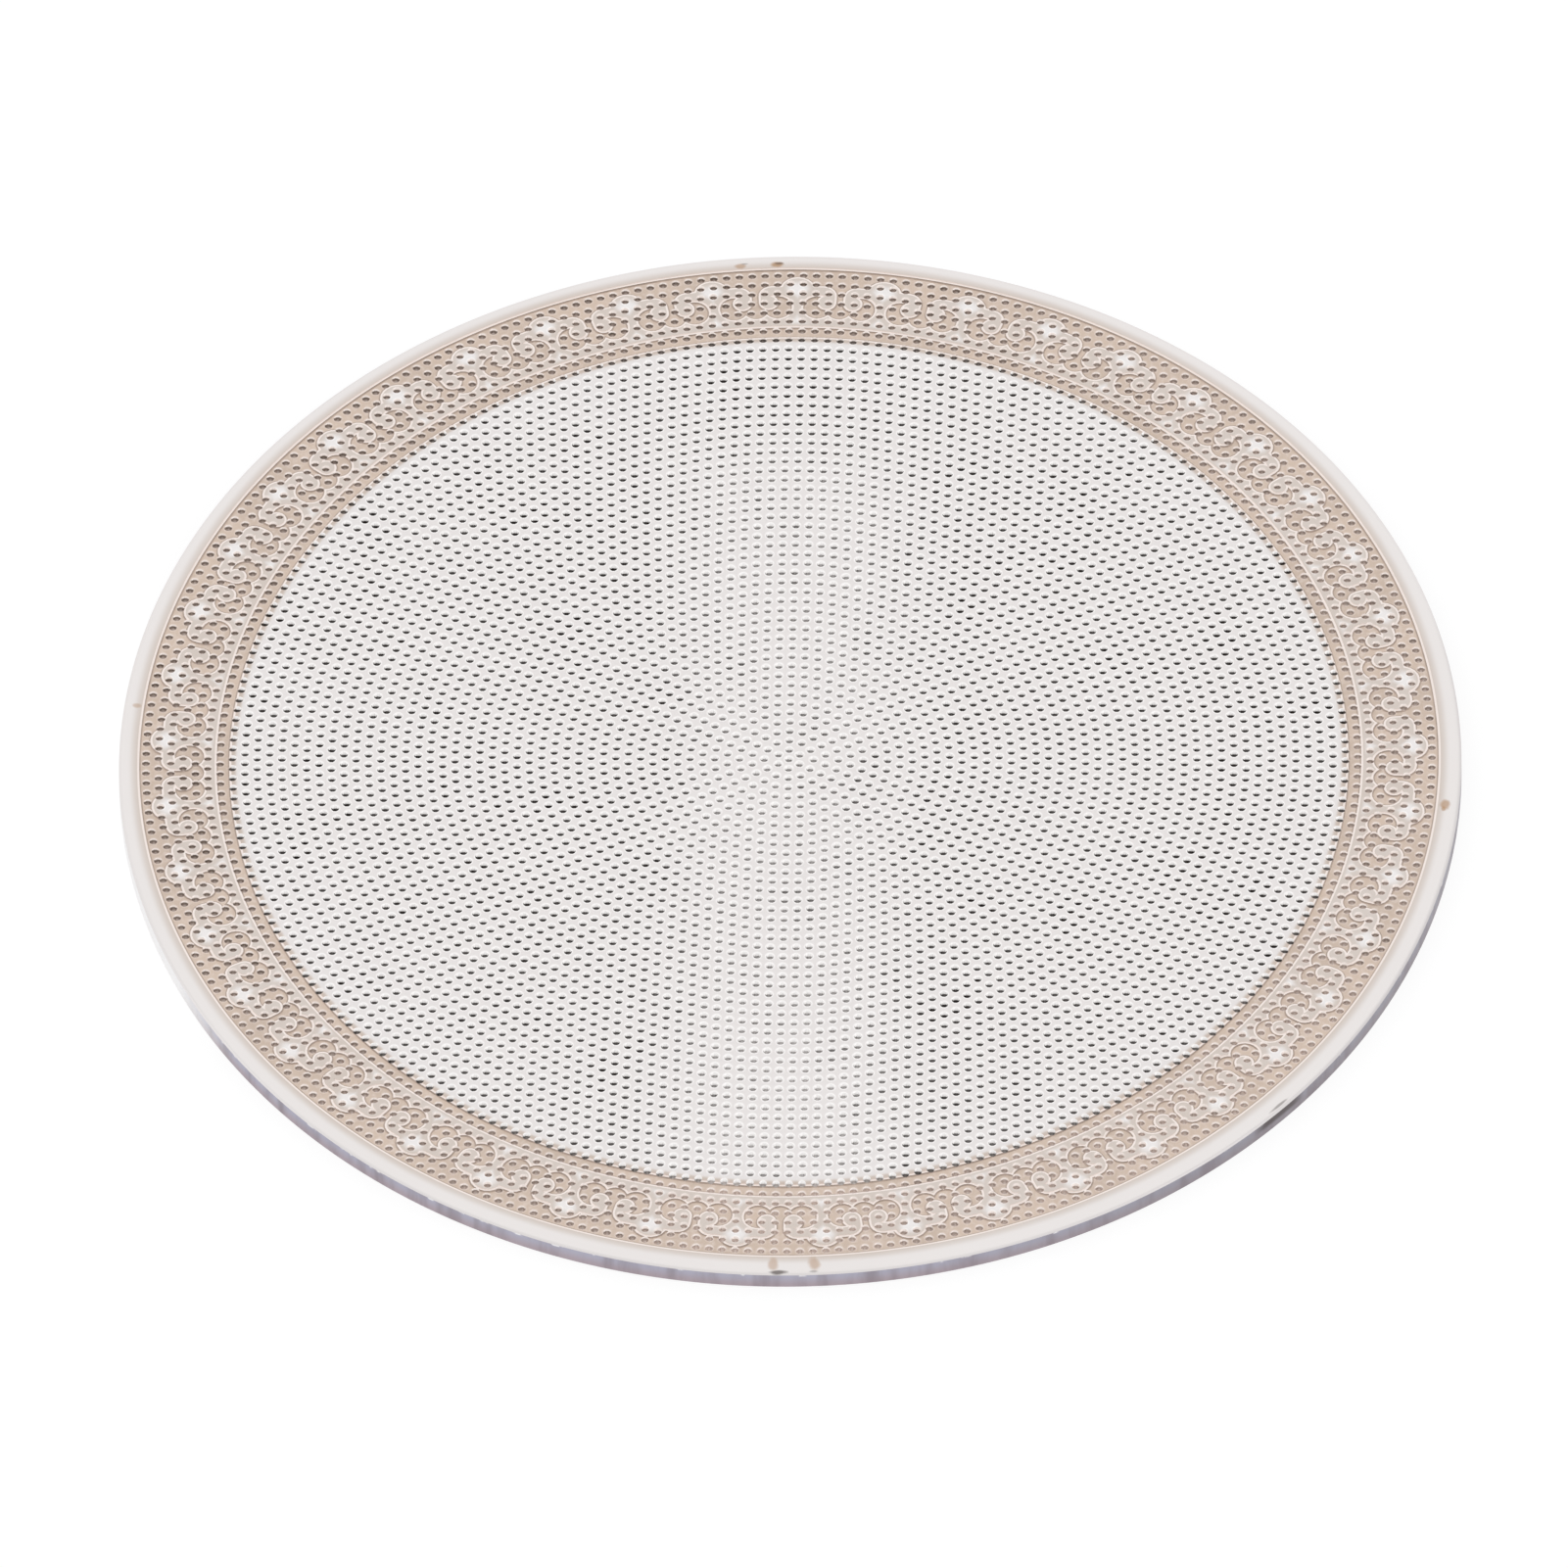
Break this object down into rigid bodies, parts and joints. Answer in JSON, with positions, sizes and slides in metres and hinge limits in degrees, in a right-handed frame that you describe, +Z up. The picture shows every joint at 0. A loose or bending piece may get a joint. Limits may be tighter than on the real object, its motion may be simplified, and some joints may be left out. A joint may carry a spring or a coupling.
{
  "type": "perforated filter disc",
  "caption": "Thin round stainless filter disc, finely perforated in concentric rings, with a half-etched scroll ornament border and a plain rim.",
  "frame": {"origin": "centre of the underside, where the disc lies", "axes": "+Z up, from the plain underside to the etched face; +Y along the first ray of holes"},
  "size_m": [0.051, 0.051, 0.0008],
  "materials": {
    "disc_steel": "satin"
  },
  "bodies": {
    "root": {"filter_disc": "disc_steel"}
  },
  "joints": []
}
